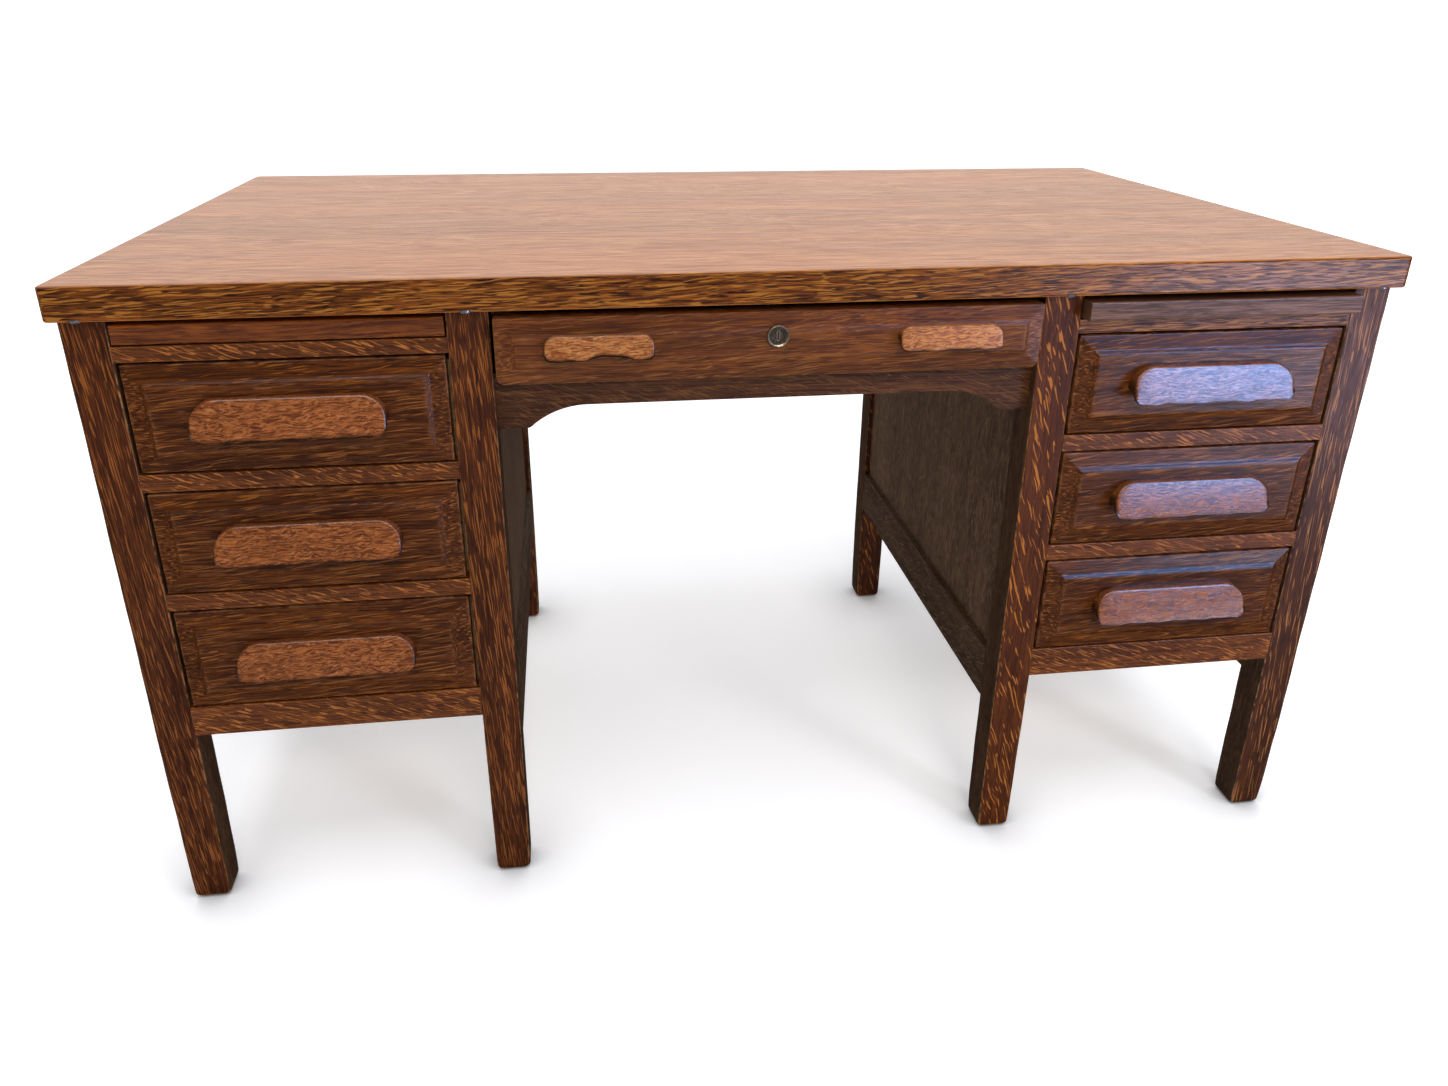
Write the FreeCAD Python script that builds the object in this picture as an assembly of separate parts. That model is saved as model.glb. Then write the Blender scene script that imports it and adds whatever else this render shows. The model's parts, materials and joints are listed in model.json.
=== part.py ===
import FreeCAD, Part
import math
import os

from FreeCAD import Vector

os.makedirs("parts", exist_ok=True)

# An old oak kneehole desk: two drawer pedestals on tapered legs under one thick
# top, a shallow locking drawer over the kneehole and a pull-out writing slide
# over each pedestal. Sizes are millimetres. X runs to the right, Y to the back
# and Z up. The origin is on the floor, under the middle of the whole desk.

# Whole desk
desk_width = 1422.0
desk_height = 762.0
top_depth = 814.0
top_thickness = 35.0
side_overhang = 7.0
front_overhang = 15.0
back_overhang = 120.0
pedestal_width = 408.0

# Top board and the round-headed studs under its front edge
top_corner_radius = 6.0
top_edge_radius = 2.5
stud_setback = 4.5
stud_head_radius = 6.0
stud_head_height = 4.0
stud_dome_height = 2.0
stud_shank_radius = 2.5
stud_shank_length = 18.0
stud_recess_clearance = 0.6

# Legs
leg_size = 43.0
leg_arris = 1.5
foot_taper = 4.0
foot_ease = 3.5

# Front of a pedestal, from the top board down
slide_headroom = 7.0
slide_thickness = 20.5
slide_gap = 1.5
slide_rail_height = 16.0
drawer_opening_heights = (120.0, 121.0, 125.0)
divider_height = 19.5
bottom_rail_height = 38.0
rail_arris = 0.8

# Side and back frames with their panels
lower_rail_height = 68.0
lower_rail_drop = 53.0
upper_rail_height = 60.0
frame_rail_thickness = 25.0
panel_thickness = 8.0
panel_recess = 8.0
panel_groove = 7.0
tenon_length = 18.0
tenon_thickness = 10.0
tenon_shoulder = 4.0
kneehole_back_height = 120.0

# Drawers: gaps round the fronts, raised fields, boxes and the bars they run on
drawer_side_gap = 2.0
drawer_top_gap = 1.5
drawer_low_gap = 1.0
front_thickness = 19.0
front_arris = 1.0
field_border = 19.0
field_slope_rise = 2.5
field_step_run = 4.0
field_step_rise = 3.5
box_back_room = 75.0
box_side_thickness = 12.0
box_back_thickness = 10.0
box_bottom_thickness = 6.0
box_bottom_lift = 8.0
box_bottom_groove = 5.0
box_top_drop = 12.0
runner_width = 32.0
guide_height = 16.0

# Wooden pulls, thin at the top and deep at the bottom, undercut for the fingers
pull_length = 192.0
pull_height = 41.0
pull_top_reach = 8.0
pull_low_reach = 22.0
pull_lip = 8.0
pull_groove_height = 19.0
pull_groove_slope = 4.0
pull_top_radius = 22.0
pull_low_radius = 6.0
pull_edge_radius = 2.0
pull_lift = 3.0

# Writing slides
slide_back_room = 94.0
slide_edge_radius = 2.5
slide_pulled_out = 18.0

# Centre drawer over the kneehole
centre_front_height = 73.0
centre_front_thickness = 22.0
centre_front_proud = 10.0
centre_corner_radius = 9.0
centre_border = 18.0
centre_slope_rise = 2.0
centre_step_rise = 2.5
centre_box_back_room = 162.0
centre_box_inset = 1.0
centre_box_height = 55.0
centre_box_lift = 10.3
centre_runner_size = 20.0
centre_pull_length = 113.0
centre_pull_height = 25.0
centre_pull_top_reach = 7.0
centre_pull_low_reach = 16.0
centre_pull_lip = 6.0
centre_pull_groove_height = 12.0
centre_pull_groove_slope = 2.0
centre_pull_top_radius = 12.0
centre_pull_low_radius = 4.0
centre_pull_edge_radius = 1.5
centre_pull_lift = 5.0
centre_pull_spread = 186.0

# Apron under the centre drawer and its shaped brackets
apron_recess = 12.5
apron_thickness = 20.0
apron_height = 38.0
apron_lap = 8.0
bracket_length = 106.0
bracket_drop = 24.0
bracket_flat = 34.0
bracket_run = 62.0
bracket_tip_radius = 5.0

# Lock of the centre drawer
lock_below_edge = 26.0
lock_flange_radius = 11.5
lock_flange_thickness = 2.0
lock_barrel_radius = 9.0
lock_plug_radius = 7.0
lock_plug_recess = 0.6
keyhole_width = 2.0
keyhole_length = 9.0
keyhole_depth = 6.0
lock_wall = 2.0
lock_case_width = 44.0
lock_case_height = 40.0
lock_case_depth = 15.0
crank_disc_thickness = 3.0
crank_radius = 8.5
crank_disc_rim = 2.5
crank_pin_radius = 1.5
crank_start_angle = -45.0
bolt_width = 24.0
bolt_thickness = 5.0
bolt_web = 4.0
bolt_head_width = 16.0
bolt_slot_clearance = 0.6
strike_length = 44.0
strike_width = 16.0
strike_thickness = 1.5
strike_pocket_spare = 4.0

# Fits
run_clearance = 0.3
joint_clearance = 0.1
plug_clearance = 0.1
cut_overrun = 5.0

to_right = Vector(1, 0, 0)
to_back = Vector(0, 1, 0)
up = Vector(0, 0, 1)
pieces = {}


# Shared shapes

def block(limits):
    """A box between the pairs of limits in X, Y and Z."""
    x, y, z = limits
    return Part.makeBox(x[1] - x[0], y[1] - y[0], z[1] - z[0], Vector(x[0], y[0], z[0]))


def grown(limits, amount):
    """The same limits, moved out by an amount on every side."""
    return tuple((low - amount, high + amount) for low, high in limits)


def rod(start, direction, radius, length):
    """A round bar from its start point along a direction."""
    return Part.makeCylinder(radius, length, start, direction)


def outline(corners, place):
    """A closed wire round corners (u, v, radius), where place turns u and v into a point."""
    count = len(corners)
    joints = []
    for index, (u, v, radius) in enumerate(corners):
        corner = Vector(u, v, 0)
        before = Vector(corners[index - 1][0], corners[index - 1][1], 0) - corner
        after = Vector(corners[(index + 1) % count][0], corners[(index + 1) % count][1], 0) - corner
        before.normalize()
        after.normalize()
        half = before.getAngle(after) / 2
        inward = (before + after).normalize()
        reach = radius / math.tan(half)
        crown = corner + inward * (radius / math.sin(half) - radius)
        joints.append((corner + before * reach, crown, corner + after * reach, radius))
    edges = []
    for index, (start, crown, end, radius) in enumerate(joints):
        points = [place(point.x, point.y) for point in (start, crown, end)]
        if radius > 0:
            edges.append(Part.Arc(*points).toShape())
        following = joints[(index + 1) % count][0]
        edges.append(Part.makeLine(points[2], place(following.x, following.y)))
    return Part.Wire(edges)


def square_outline(centre, half, radius, z):
    """A level square with rounded corners about a centre."""
    signs = ((-1, -1), (1, -1), (1, 1), (-1, 1))
    corners = [(centre[0] + half * a, centre[1] + half * b, radius) for a, b in signs]
    return outline(corners, lambda u, v: Vector(u, v, z))


def lines_along_x(shape, y):
    """The straight edges of a shape that run along X in the plane at y."""
    found = []
    for edge in shape.Edges:
        box = edge.BoundBox
        if abs(box.YMin - y) + abs(box.YMax - y) < joint_clearance and box.XLength > box.ZLength:
            found.append(edge)
    return found


def mirrored(shape):
    """The same shape on the other side of the desk's middle plane."""
    return shape.mirror(Vector(0, 0, 0), to_right)


def both_pedestals(name, shape):
    """Keep a piece of the right pedestal and its mirror image on the left."""
    pieces["right_" + name] = shape
    pieces["left_" + name] = mirrored(shape)


# Wooden pulls

def pull(length, height, reaches, lip, groove, radii):
    """A wedge-shaped bar with rounded top corners, undercut along the back of its foot.

    The middle of its back is at the origin, and it reaches out towards the front.
    """
    top_reach, low_reach = reaches
    groove_height, groove_slope = groove
    top_radius, low_radius, edge_radius = radii
    low = -height / 2
    high = height / 2
    end = length / 2
    profile = (
        (0, high, 0),
        (-top_reach, high, 0),
        (-low_reach, low, 0),
        (-low_reach + lip, low, 0),
        (-low_reach + lip, low + groove_height - groove_slope, 0),
        (0, low + groove_height, 0),
    )
    bar = Part.Face(outline(profile, lambda u, v: Vector(-end, u, v))).extrude(Vector(length, 0, 0))
    face = (
        (-end, low, low_radius),
        (end, low, low_radius),
        (end, high, top_radius),
        (-end, high, top_radius),
    )
    prism = Part.Face(outline(face, lambda u, v: Vector(u, -low_reach - cut_overrun, v)))
    bar = bar.common(prism.extrude(Vector(0, low_reach + cut_overrun + cut_overrun, 0)))
    front = max(bar.Faces, key=lambda side: side.Area)
    return bar.makeFillet(edge_radius, front.OuterWire.Edges).removeSplitter()


drawer_pull = pull(
    pull_length, pull_height, (pull_top_reach, pull_low_reach), pull_lip,
    (pull_groove_height, pull_groove_slope), (pull_top_radius, pull_low_radius, pull_edge_radius))
centre_pull = pull(
    centre_pull_length, centre_pull_height, (centre_pull_top_reach, centre_pull_low_reach), centre_pull_lip,
    (centre_pull_groove_height, centre_pull_groove_slope),
    (centre_pull_top_radius, centre_pull_low_radius, centre_pull_edge_radius))


# Places worked out from the sizes
centre_pull_nose = -centre_pull.optimalBoundingBox().YMin
pull_reach_in_front = (
    centre_front_proud + centre_slope_rise + centre_step_rise + centre_pull_nose - front_overhang
)
desk_depth = top_depth + pull_reach_in_front
top_front = -desk_depth / 2 + pull_reach_in_front
top_back = top_front + top_depth
top_under = desk_height - top_thickness
leg_front = top_front + front_overhang
leg_back = top_back - back_overhang
outer_face = desk_width / 2 - side_overhang
inner_face = outer_face - pedestal_width
bay = (inner_face + leg_size, outer_face - leg_size)
bay_middle = (bay[0] + bay[1]) / 2
frame_bay = (leg_front + leg_size, leg_back - leg_size)

slide_top = top_under - slide_headroom
slide_low = slide_top - slide_thickness
slide_rail = (slide_low - slide_gap - slide_rail_height, slide_low - slide_gap)
drawer_openings = []
divider_rails = []
level = slide_rail[0]
for height in drawer_opening_heights:
    if drawer_openings:
        divider_rails.append((level - divider_height, level))
        level = level - divider_height
    drawer_openings.append((level - height, level))
    level = level - height
bottom_rail = (level - bottom_rail_height, level)
lower_rail = (bottom_rail[0] - lower_rail_drop, bottom_rail[0] - lower_rail_drop + lower_rail_height)
upper_rail = (top_under - upper_rail_height, top_under)
back_inside = leg_back - frame_rail_thickness
field_rise = field_slope_rise + field_step_rise


# Frames: rails with tenons, and panels in grooves

def tenons(limits, along):
    """The tenons at both ends of a rail that runs along axis 0 or 1."""
    across = 1 - along
    middle = sum(limits[across]) / 2
    low, high = limits[along]
    made = []
    for span in ((low - tenon_length, low), (high, high + tenon_length)):
        tenon = [None, None, (limits[2][0] + tenon_shoulder, limits[2][1] - tenon_shoulder)]
        tenon[along] = span
        tenon[across] = (middle - tenon_thickness / 2, middle + tenon_thickness / 2)
        made.append(tuple(tenon))
    return made


def rail(limits, along, panel_limits=()):
    """A rail with a tenon at each end, grooved for the panels that it holds."""
    shape = block(limits)
    if along == 0:
        shape = shape.makeFillet(rail_arris, lines_along_x(shape, limits[1][0]))
    shape = shape.multiFuse([block(tenon) for tenon in tenons(limits, along)])
    for panel in panel_limits:
        shape = shape.cut(block(grown(panel, joint_clearance)))
    return shape.removeSplitter()


frame_depths = {
    "outer_side": (outer_face - frame_rail_thickness, outer_face),
    "inner_side": (inner_face, inner_face + frame_rail_thickness),
    "back": (back_inside, leg_back),
}
panel_faces = {
    "outer_side": (outer_face - panel_recess - panel_thickness, outer_face - panel_recess),
    "inner_side": (inner_face + panel_recess, inner_face + panel_recess + panel_thickness),
    "back": (leg_back - panel_recess - panel_thickness, leg_back - panel_recess),
}
panel_heights = (lower_rail[1] - panel_groove, upper_rail[0] + panel_groove)


def frame_limits(frame, span, heights):
    """Limits of a piece of a side or back frame, from its depth in the wall."""
    depth = frame_depths[frame]
    if frame == "back":
        return (span, depth, heights)
    return (depth, span, heights)


def panel_limits_of(frame):
    """Limits of a frame's panel, with its edges in the grooves."""
    run = bay if frame == "back" else frame_bay
    span = (run[0] - panel_groove, run[1] + panel_groove)
    if frame == "back":
        return (span, panel_faces[frame], panel_heights)
    return (panel_faces[frame], span, panel_heights)


sockets = []
for frame in frame_depths:
    panel = panel_limits_of(frame)
    sockets.append(panel)
    along = 0 if frame == "back" else 1
    run = bay if frame == "back" else frame_bay
    bars = []
    for heights in (lower_rail, upper_rail):
        limits = frame_limits(frame, run, heights)
        sockets.extend(tenons(limits, along))
        bars.append(rail(limits, along, [panel]))
    both_pedestals(frame + "_panel", block(panel))
    if frame == "back":
        back_bars = bars
    else:
        both_pedestals(frame + "_rails", Part.makeCompound(bars))
pieces["pedestal_back_rails"] = Part.makeCompound(back_bars + [mirrored(bar) for bar in back_bars])

rail_depth = (leg_front, leg_front + leg_size)
front_rails = {"slide_rail": [slide_rail], "divider_rails": divider_rails, "bottom_rail": [bottom_rail]}
for name, heights_list in front_rails.items():
    bars = []
    for heights in heights_list:
        limits = (bay, rail_depth, heights)
        sockets.extend(tenons(limits, 0))
        bars.append(rail(limits, 0))
    both_pedestals(name, bars[0] if len(bars) == 1 else Part.makeCompound(bars))

kneehole_back = (
    (-inner_face, inner_face),
    frame_depths["back"],
    (top_under - kneehole_back_height, top_under),
)
sockets.extend(tenons(kneehole_back, 0))
pieces["kneehole_back_rail"] = rail(kneehole_back, 0)


# Legs: square posts, tapered on all faces below the side rails

def leg(centre):
    """A post with eased arrises, mortised and grooved for all that it holds."""
    half = leg_size / 2
    foot = half - foot_taper
    sections = ((0, foot - foot_ease), (foot_ease, foot), (lower_rail[0], half))
    wires = [square_outline(centre, size, leg_arris, z) for z, size in sections]
    lower = Part.makeLoft(wires, True, True)
    post_face = Part.Face(square_outline(centre, half, leg_arris, lower_rail[0]))
    post = post_face.extrude(Vector(0, 0, top_under - lower_rail[0]))
    post = post.cut([block(grown(socket, joint_clearance)) for socket in sockets])
    return post.fuse(lower).removeSplitter()


for place_x, x in (("outer", outer_face - leg_size / 2), ("inner", inner_face + leg_size / 2)):
    for place_y, y in (("front", leg_front + leg_size / 2), ("back", leg_back - leg_size / 2)):
        both_pedestals(place_x + "_" + place_y + "_leg", leg((x, y)))


# Drawers of the pedestals

def raised_front(limits, border, slope_rise, step_run, step_rise):
    """A drawer front whose border slopes up to a step round a raised flat field."""
    (x_low, x_high), (y_face, y_back), (z_low, z_high) = limits
    rings = (
        (0, y_back),
        (0, y_face + front_arris),
        (front_arris, y_face),
        (border, y_face - slope_rise),
        (border + step_run, y_face - slope_rise - step_rise),
    )
    wires = []
    for inset, y in rings:
        corners = (
            Vector(x_low + inset, y, z_low + inset),
            Vector(x_high - inset, y, z_low + inset),
            Vector(x_high - inset, y, z_high - inset),
            Vector(x_low + inset, y, z_high - inset),
        )
        wires.append(Part.makePolygon(corners + corners[:1]))
    return Part.makeLoft(wires, True, True)


def drawer_box(x, y, z):
    """Sides, back and a thin bottom let into the sides; open at the top."""
    bottom_heights = (z[0] + box_bottom_lift, z[0] + box_bottom_lift + box_bottom_thickness)
    inside = (x[0] + box_side_thickness, x[1] - box_side_thickness)
    bottom = ((inside[0] - box_bottom_groove, inside[1] + box_bottom_groove), y, bottom_heights)
    solids = [block(bottom)]
    for span in ((x[0], inside[0]), (inside[1], x[1])):
        solids.append(block((span, y, z)).cut(block(grown(bottom, joint_clearance))))
    solids.append(block((inside, (y[1] - box_back_thickness, y[1]), (bottom_heights[1], z[1]))))
    return Part.makeCompound(solids)


runners = []
guide_span = (inner_face + frame_rail_thickness, bay[0])
runner_span = (guide_span[0], guide_span[0] + runner_width)


def on_both_walls(limits):
    """A bar on the inner wall of the right pedestal and its twin on the outer wall."""
    span = limits[0]
    twin = (2 * bay_middle - span[1], 2 * bay_middle - span[0])
    return [block(limits), block((twin, limits[1], limits[2]))]


front_span = (bay[0] + drawer_side_gap, bay[1] - drawer_side_gap)
box_back = back_inside - box_back_room
for name, opening in zip(("top", "middle", "bottom"), drawer_openings):
    heights = (opening[0] + drawer_low_gap, opening[1] - drawer_top_gap)
    front_limits = (front_span, (leg_front, leg_front + front_thickness), heights)
    front = raised_front(front_limits, field_border, field_slope_rise, field_step_run, field_step_rise)
    both_pedestals(name + "_drawer_front", front)
    pull_place = Vector(bay_middle, leg_front - field_rise, sum(heights) / 2 + pull_lift)
    both_pedestals(name + "_drawer_pull", drawer_pull.translated(pull_place))
    box_heights = (opening[0] + run_clearance, opening[1] - box_top_drop)
    both_pedestals(name + "_drawer_box", drawer_box(
        front_span, (leg_front + front_thickness, box_back), box_heights))
    runners += on_both_walls((runner_span, frame_bay, (opening[0] - divider_height, opening[0])))
    runners += on_both_walls((guide_span, frame_bay, (opening[0], opening[0] + guide_height)))


# Writing slides and the bars that carry and hold them down

def writing_slide(pulled_out):
    """A plain board with an eased front edge."""
    start = leg_front - pulled_out
    end = back_inside - slide_back_room - pulled_out
    board = block((front_span, (start, end), (slide_low, slide_top)))
    return board.makeFillet(slide_edge_radius, lines_along_x(board, start))


pieces["right_writing_slide"] = writing_slide(slide_pulled_out)
pieces["left_writing_slide"] = mirrored(writing_slide(0))
runners += on_both_walls((runner_span, frame_bay, (slide_rail[0], slide_low - run_clearance)))
runners += on_both_walls((runner_span, frame_bay, (slide_top + run_clearance, top_under)))
both_pedestals("drawer_runners", Part.makeCompound(runners))


# Centre drawer

centre_top = slide_top
centre_low = centre_top - centre_front_height
centre_face = leg_front - centre_front_proud
centre_back = centre_face + centre_front_thickness
centre_field = centre_face - centre_slope_rise - centre_step_rise
centre_half = inner_face - drawer_side_gap
lock_height = centre_top - lock_below_edge

front = raised_front(
    ((-centre_half, centre_half), (centre_face, centre_back), (centre_low, centre_top)),
    centre_border, centre_slope_rise, field_step_run, centre_step_rise)
centre_corners = (
    (-centre_half, centre_low, centre_corner_radius),
    (centre_half, centre_low, centre_corner_radius),
    (centre_half, centre_top, front_arris),
    (-centre_half, centre_top, front_arris),
)
prism = Part.Face(outline(centre_corners, lambda u, v: Vector(u, centre_field - cut_overrun, v)))
front = front.common(prism.extrude(Vector(0, centre_back - centre_field + cut_overrun + cut_overrun, 0)))
barrel_hole = rod(
    Vector(0, centre_field - cut_overrun, lock_height), to_back, lock_barrel_radius + joint_clearance,
    centre_back - centre_field + cut_overrun + cut_overrun)
pieces["centre_drawer_front"] = front.cut(barrel_hole)

centre_pulls = []
for side in (-1, 1):
    pull_height_up = (centre_low + centre_top) / 2 + centre_pull_lift
    pull_place = Vector(side * centre_pull_spread, centre_field, pull_height_up)
    centre_pulls.append(centre_pull.translated(pull_place))
pieces["centre_drawer_pulls"] = Part.makeCompound(centre_pulls)

centre_box_half = centre_half - centre_box_inset
centre_box_low = centre_low + centre_box_lift
centre_box_high = centre_box_low + centre_box_height
pieces["centre_drawer_box"] = drawer_box(
    (-centre_box_half, centre_box_half), (centre_back, back_inside - centre_box_back_room),
    (centre_box_low, centre_box_high))

centre_bars = []
bar_run = (leg_front + apron_recess + apron_thickness, back_inside)
bar_span = (inner_face - centre_runner_size, inner_face)
bar_low = centre_box_low - run_clearance
for heights in ((bar_low - centre_runner_size, bar_low), (centre_box_high + run_clearance, top_under)):
    bar = block((bar_span, bar_run, heights))
    centre_bars += [bar, mirrored(bar)]
pieces["centre_drawer_runners"] = Part.makeCompound(centre_bars)


# Apron: a straight rail between two shaped brackets

apron_depth = (leg_front + apron_recess, leg_front + apron_recess + apron_thickness)
apron_top = centre_low + apron_lap
apron_low = apron_top - apron_height
bracket_end = inner_face - bracket_length
pieces["kneehole_apron"] = block(((-bracket_end, bracket_end), apron_depth, (apron_low, apron_top)))

bracket_foot = inner_face - bracket_flat
curve_radius = (bracket_run ** 2 + bracket_drop ** 2) / (2 * bracket_drop)
curve_centre = (bracket_foot - bracket_run, apron_low - curve_radius)
half_turn = math.asin(bracket_run / curve_radius) / 2


def bracket_point(x, z):
    """A point in the front plane of the apron."""
    return Vector(x, apron_depth[0], z)


curve_end = bracket_point(bracket_foot, apron_low - bracket_drop)
curve_start = bracket_point(curve_centre[0], apron_low)
curve_middle = bracket_point(
    curve_centre[0] + curve_radius * math.sin(half_turn),
    curve_centre[1] + curve_radius * math.cos(half_turn))
straight_points = (
    curve_end,
    bracket_point(inner_face, apron_low - bracket_drop),
    bracket_point(inner_face, apron_top),
    bracket_point(bracket_end, apron_top),
    bracket_point(bracket_end, apron_low),
    curve_start,
)
bracket_edges = [Part.Arc(curve_start, curve_middle, curve_end).toShape()]
bracket_edges += [Part.makeLine(a, b) for a, b in zip(straight_points, straight_points[1:])]
bracket = Part.Face(Part.Wire(bracket_edges)).extrude(Vector(0, apron_thickness, 0))
tip = [
    edge for edge in bracket.Edges
    if edge.BoundBox.YLength > edge.BoundBox.XLength + edge.BoundBox.ZLength
    and (edge.CenterOfMass - curve_end).cross(to_back).Length < joint_clearance
]
bracket = bracket.makeFillet(bracket_tip_radius, tip)
pieces["apron_brackets"] = Part.makeCompound([bracket, mirrored(bracket)])


# Lock: a barrel through the front, a case behind it, a turning plug and a rising bolt

case_front = centre_back
case_inside = (case_front + lock_wall, case_front + lock_case_depth - lock_wall)
case_low = lock_height - lock_case_height / 2
case_high = lock_height + lock_case_height / 2
case_half = lock_case_width / 2
plate_back = case_inside[0]
case = block(((-case_half, case_half), (case_front, case_front + lock_case_depth), (case_low, case_high)))
hollow = (
    (-case_half + lock_wall, case_half - lock_wall),
    case_inside,
    (case_low + lock_wall, case_high - lock_wall),
)
case = case.cut(block(hollow))
flange_front = centre_field - lock_flange_thickness
case = case.fuse(rod(
    Vector(0, centre_field, lock_height), to_back, lock_barrel_radius, case_front - centre_field))
case = case.fuse(rod(
    Vector(0, flange_front, lock_height), to_back, lock_flange_radius, lock_flange_thickness))
plug_hole = rod(
    Vector(0, flange_front - cut_overrun, lock_height), to_back, lock_plug_radius + plug_clearance,
    plate_back - flange_front + cut_overrun + run_clearance)
bolt_start = case_inside[0] + crank_disc_thickness + run_clearance + run_clearance
bolt_depth = (bolt_start, bolt_start + bolt_thickness)
bolt_rest = centre_top - run_clearance
crank_start = math.radians(crank_start_angle)
bolt_throw = -2 * crank_radius * math.sin(crank_start)
plate_high = case_high - lock_wall - run_clearance - bolt_throw
head_limits = ((-bolt_head_width / 2, bolt_head_width / 2), bolt_depth, (plate_high, bolt_rest))
head_hole = grown(head_limits, run_clearance)
case = case.cut(plug_hole).cut(block((head_hole[0], head_hole[1], (case_high - lock_wall, bolt_rest))))
pieces["lock_case"] = case.removeSplitter()

plug_front = flange_front + lock_plug_recess
disc_start = plate_back + run_clearance
plug = rod(Vector(0, plug_front, lock_height), to_back, lock_plug_radius, disc_start - plug_front)
disc = rod(
    Vector(0, disc_start, lock_height), to_back, crank_radius + crank_disc_rim, crank_disc_thickness)
pin_place = Vector(
    crank_radius * math.cos(crank_start), disc_start, lock_height + crank_radius * math.sin(crank_start))
pin = rod(pin_place, to_back, crank_pin_radius, bolt_depth[1] - disc_start)
keyhole = block((
    (-keyhole_width / 2, keyhole_width / 2),
    (plug_front - cut_overrun, plug_front + keyhole_depth),
    (lock_height - keyhole_length / 2, lock_height + keyhole_length / 2),
))
pieces["lock_plug"] = plug.multiFuse([disc, pin]).cut(keyhole).removeSplitter()

pin_room = crank_pin_radius + bolt_slot_clearance
slot_low = pin_place.z - pin_room
bolt_plate = ((-bolt_width / 2, bolt_width / 2), bolt_depth, (slot_low - bolt_web, plate_high))
slot = (
    (pin_place.x - pin_room, crank_radius + pin_room),
    grown(head_limits, cut_overrun)[1],
    (slot_low, slot_low + 2 * pin_room),
)
bolt = block(bolt_plate).fuse(block(head_limits)).cut(block(slot))
pieces["lock_bolt"] = bolt.removeSplitter()

strike_middle = sum(bolt_depth) / 2
strike_limits = (
    (-strike_length / 2, strike_length / 2),
    (strike_middle - strike_width / 2, strike_middle + strike_width / 2),
    (top_under, top_under + strike_thickness),
)
bolt_way = grown(head_limits, bolt_slot_clearance)
bolt_reach = bolt_rest + bolt_throw + strike_pocket_spare
strike_hole = (bolt_way[0], bolt_way[1], (top_under - cut_overrun, bolt_reach))
pieces["lock_strike_plate"] = block(strike_limits).cut(block(strike_hole))


# Top board, recessed for the strike plate and for the studs over the front legs

top = block(((-desk_width / 2, desk_width / 2), (top_front, top_back), (top_under, desk_height)))
upright = [edge for edge in top.Edges if edge.BoundBox.ZLength > top_thickness / 2]
top = top.makeFillet(top_corner_radius, upright)
rims = [edge for edge in top.Edges if edge.BoundBox.ZLength < top_thickness / 2]
top = top.makeFillet(top_edge_radius, rims)
top = top.cut([block(grown(strike_limits, joint_clearance)), block(strike_hole)])

studs = []
seat = top_under + stud_head_height - stud_dome_height
dome_radius = (stud_head_radius ** 2 + stud_dome_height ** 2) / (2 * stud_dome_height)
for side in (-1, 1):
    for x in (inner_face + leg_size / 2, outer_face - leg_size / 2):
        axis = Vector(side * x, top_front + stud_setback, 0)
        head = rod(axis + up * (seat - stud_head_height), up, stud_head_radius, stud_head_height)
        dome = Part.makeSphere(dome_radius, axis + up * (seat - stud_head_height + dome_radius))
        shank = rod(axis + up * seat, up, stud_shank_radius, stud_shank_length)
        studs.append(head.common(dome).fuse(shank).removeSplitter())
        recess = rod(
            axis + up * (top_under - cut_overrun), up, stud_head_radius + stud_recess_clearance,
            seat - top_under + cut_overrun)
        bore = rod(
            axis + up * seat, up, stud_shank_radius + joint_clearance, stud_shank_length + joint_clearance)
        top = top.cut([recess, bore])
pieces["top_studs"] = Part.makeCompound(studs)
pieces["desk_top"] = top.removeSplitter()

for name, shape in pieces.items():
    shape.exportStep("parts/" + name + ".step")
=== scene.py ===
import json
import math

import bmesh
import bpy
import numpy as np
from mathutils import Euler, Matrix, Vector


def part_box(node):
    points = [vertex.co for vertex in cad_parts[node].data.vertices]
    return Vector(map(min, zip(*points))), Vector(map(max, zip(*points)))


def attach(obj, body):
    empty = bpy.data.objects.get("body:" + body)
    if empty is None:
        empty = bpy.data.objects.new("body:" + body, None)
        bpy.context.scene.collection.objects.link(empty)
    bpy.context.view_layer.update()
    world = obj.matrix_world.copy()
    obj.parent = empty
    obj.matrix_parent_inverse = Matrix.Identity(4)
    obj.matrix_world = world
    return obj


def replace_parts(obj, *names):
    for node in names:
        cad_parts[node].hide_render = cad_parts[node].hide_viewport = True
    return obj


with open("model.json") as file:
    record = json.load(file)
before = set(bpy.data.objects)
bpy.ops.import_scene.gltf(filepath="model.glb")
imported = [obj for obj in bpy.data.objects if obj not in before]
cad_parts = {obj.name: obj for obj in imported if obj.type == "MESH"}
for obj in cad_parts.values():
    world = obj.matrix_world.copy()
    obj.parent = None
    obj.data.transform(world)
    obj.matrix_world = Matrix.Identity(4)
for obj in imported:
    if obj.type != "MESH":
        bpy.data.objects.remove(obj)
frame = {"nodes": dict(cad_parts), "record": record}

# An old oak kneehole desk. Lengths are metres, and a name that ends in _mm is in millimetres.
# X runs to the right, Y to the back and Z up; the grain of a board is named by the axis it follows.

MM = 0.001
nodes = frame["nodes"]
behaviour = frame["record"]["behaviour"]
node_bodies = {node: body for body, members in behaviour["bodies"].items() for node in members}
node_slots = {part["node"]: part["material_slot"] for part in frame["record"]["subparts"]}
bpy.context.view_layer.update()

# View: the photograph's frame in pixels, the lens in the same pixels, and where it stood
image_px = (1448, 1086)
lens_px = 1064.5
lens_axis_px = (713.0, 481.8)
camera_place = (-0.2126, -1.4613, 0.9885)
camera_turn_deg = (66.915, -0.343, -7.629)
sensor_mm = 36.0
sight_limit = 100.0

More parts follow.
